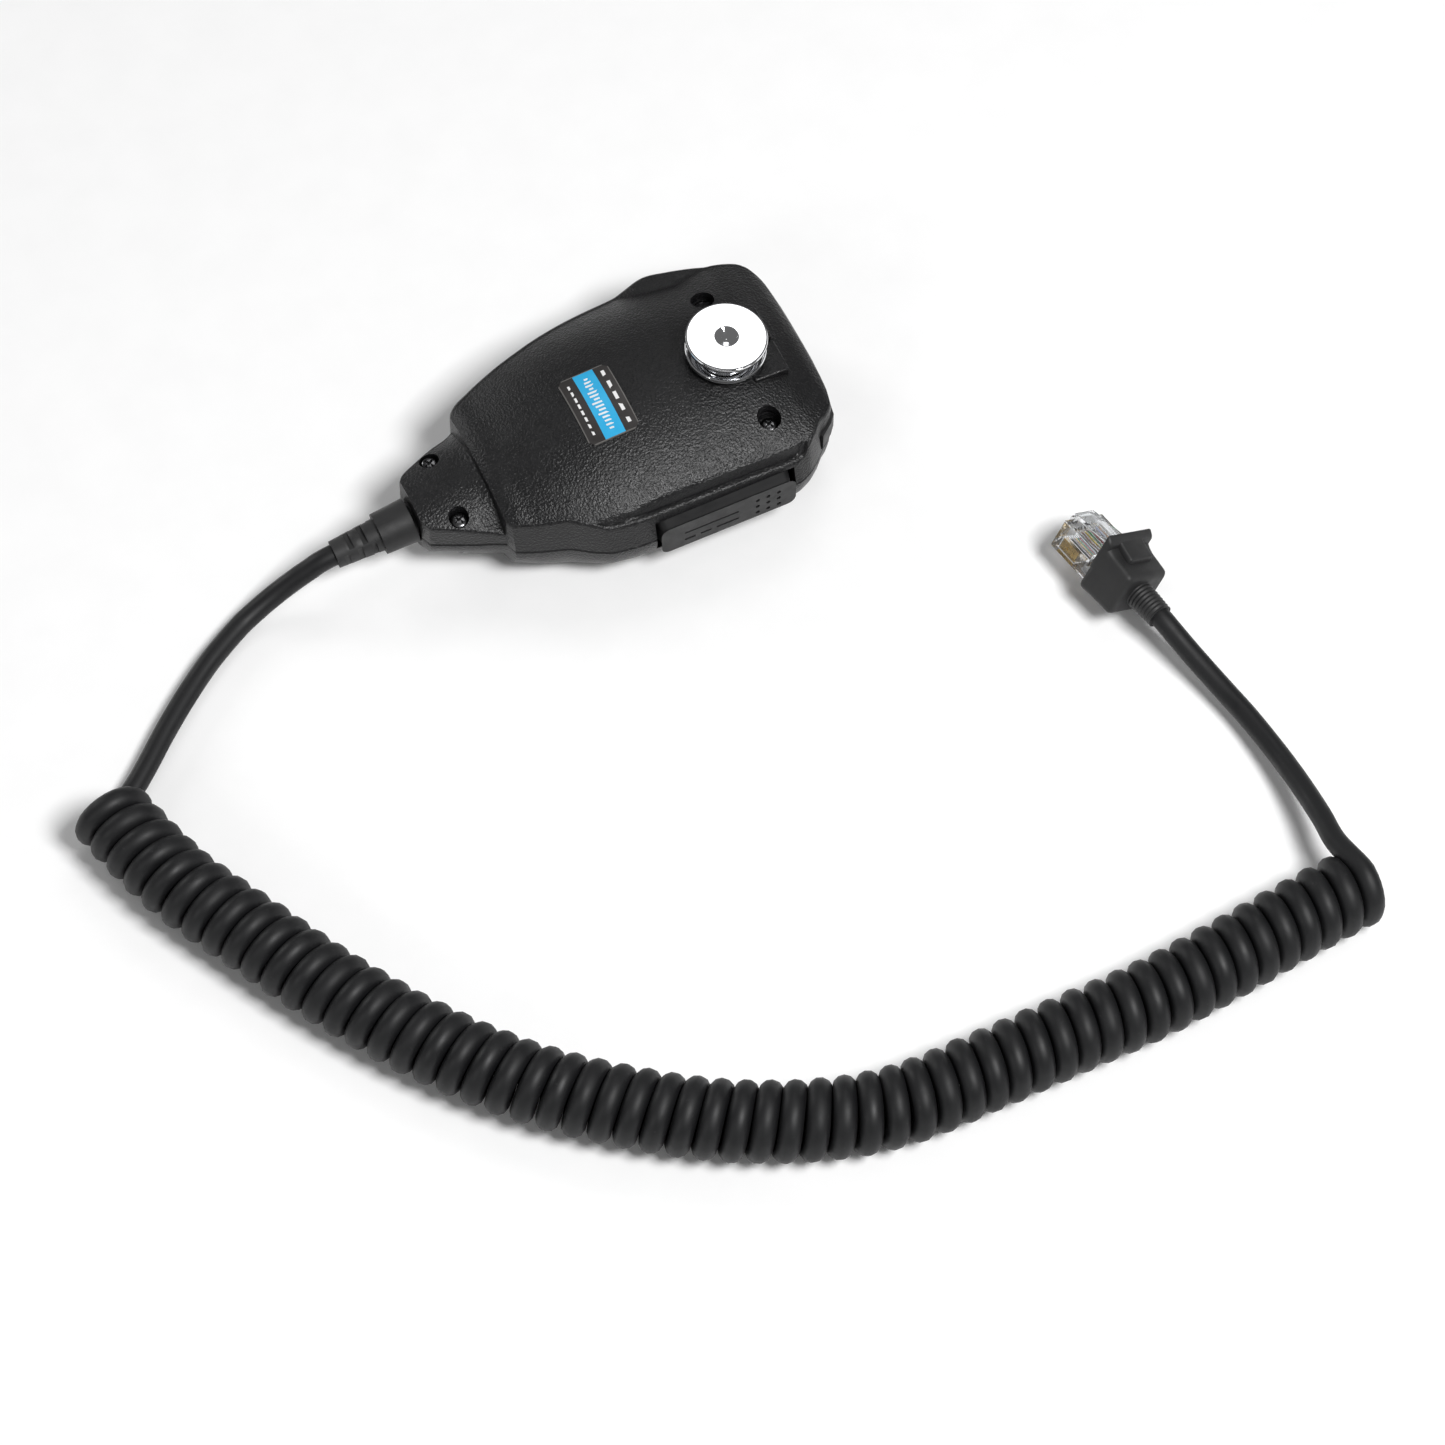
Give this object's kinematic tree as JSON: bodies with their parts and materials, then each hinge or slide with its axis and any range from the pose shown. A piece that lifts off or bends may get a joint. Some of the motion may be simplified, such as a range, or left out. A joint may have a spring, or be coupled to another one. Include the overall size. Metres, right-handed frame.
{
  "type": "hand microphone",
  "caption": "Two-shell hand microphone with a side push-to-talk bar, end keys, a chrome hang-up stud, a curly cord and a clear modular plug.",
  "frame": {"origin": "On the flat front face the microphone lies on, under the middle of the case", "axes": "+X runs from the cord end to the key end of the case, +Z is the back cover with the hang-up stud, -Y is the push-to-talk side"},
  "size_m": [0.228, 0.1985, 0.0337],
  "materials": {
    "case_black": "fine leather grain, low sheen",
    "key_black": "fine spark grain",
    "black_steel": "blackened, cross recess worn bright",
    "chrome": "polished",
    "bright_steel": "plain",
    "label": "printed film with a blue band",
    "dark_plastic": "plain",
    "pale_plastic": "plain",
    "board_green": "solder mask",
    "capsule_metal": "satin",
    "soft_rubber": "matt",
    "cloth": "felt",
    "wire_colours": "one colour for each core",
    "cord_rubber": "satin with faint scuffs",
    "boot_rubber": "fine matt grain",
    "clear_plastic": "clear polycarbonate",
    "gold": "gold plated"
  },
  "bodies": {
    "case": {"front_shell": "case_black", "back_cover": "case_black", "case_screws": "black_steel", "hang_stud": "chrome", "hang_stud_screw": "bright_steel", "hang_stud_washer": "bright_steel", "label_plate": "label", "ptt_pivot_pin": "bright_steel", "ptt_spring": "bright_steel", "ptt_switch_body": "dark_plastic", "circuit_board": "board_green", "board_screws": "bright_steel", "mic_capsule": "capsule_metal", "capsule_boot": "soft_rubber", "grille_cloth": "cloth", "key_board": "board_green", "up_switch": "dark_plastic", "down_switch": "dark_plastic", "key_ribbon": "pale_plastic", "wire_header": "pale_plastic", "inner_wires": "wire_colours", "cable_tie": "pale_plastic", "strain_relief": "cord_rubber", "cord_mic_lead": "cord_rubber", "curly_cord": "cord_rubber", "cord_plug_lead": "cord_rubber", "plug_boot": "boot_rubber", "plug_body": "clear_plastic", "plug_contacts": "gold", "plug_wires": "wire_colours"},
    "ptt": {"ptt_button": "key_black"},
    "ptt_plunger": {"ptt_switch_plunger": "pale_plastic"},
    "up_key": {"up_button": "key_black"},
    "up_plunger": {"up_switch_plunger": "pale_plastic"},
    "down_key": {"down_button": "key_black"},
    "down_plunger": {"down_switch_plunger": "pale_plastic"},
    "latch": {"plug_latch": "clear_plastic"}
  },
  "joints": [
    {"name": "ptt_press", "type": "hinge", "parent": "case", "child": "ptt", "pos_m": [0.0035, -0.0214, 0.011], "axis": [0, 0, 1], "range_deg": [0, 2.2], "stiffness_Nm_per_rad": 0.6, "springref_deg": -4.58, "deforming": ["ptt_spring"]},
    {"name": "ptt_plunger_slide", "type": "slide", "parent": "case", "child": "ptt_plunger", "axis": [0, 1, 0], "range_m": [0, 0.00075]},
    {"name": "up_press", "type": "slide", "parent": "case", "child": "up_key", "axis": [-1, 0, 0], "range_m": [0, 0.0005], "stiffness_N_per_m": 1200, "springref_m": -0.0003},
    {"name": "up_plunger_slide", "type": "slide", "parent": "case", "child": "up_plunger", "axis": [-1, 0, 0], "range_m": [0, 0.0005]},
    {"name": "down_press", "type": "slide", "parent": "case", "child": "down_key", "axis": [-1, 0, 0], "range_m": [0, 0.0005], "stiffness_N_per_m": 1200, "springref_m": -0.0003},
    {"name": "down_plunger_slide", "type": "slide", "parent": "case", "child": "down_plunger", "axis": [-1, 0, 0], "range_m": [0, 0.0005]},
    {"name": "latch_flex", "type": "hinge", "parent": "case", "child": "latch", "pos_m": [0.0825, -0.05738, 0.01081], "axis": [0.8257, 0.1317, -0.5485], "range_deg": [0, 5], "stiffness_Nm_per_rad": 0.25, "springref_deg": -1.15}
  ],
  "couplings": [
    {"joint": "ptt_plunger_slide", "follows": "ptt_press", "m_per_rad": 0.0185},
    {"joint": "up_plunger_slide", "follows": "up_press", "ratio": 1},
    {"joint": "down_plunger_slide", "follows": "down_press", "ratio": 1}
  ]
}
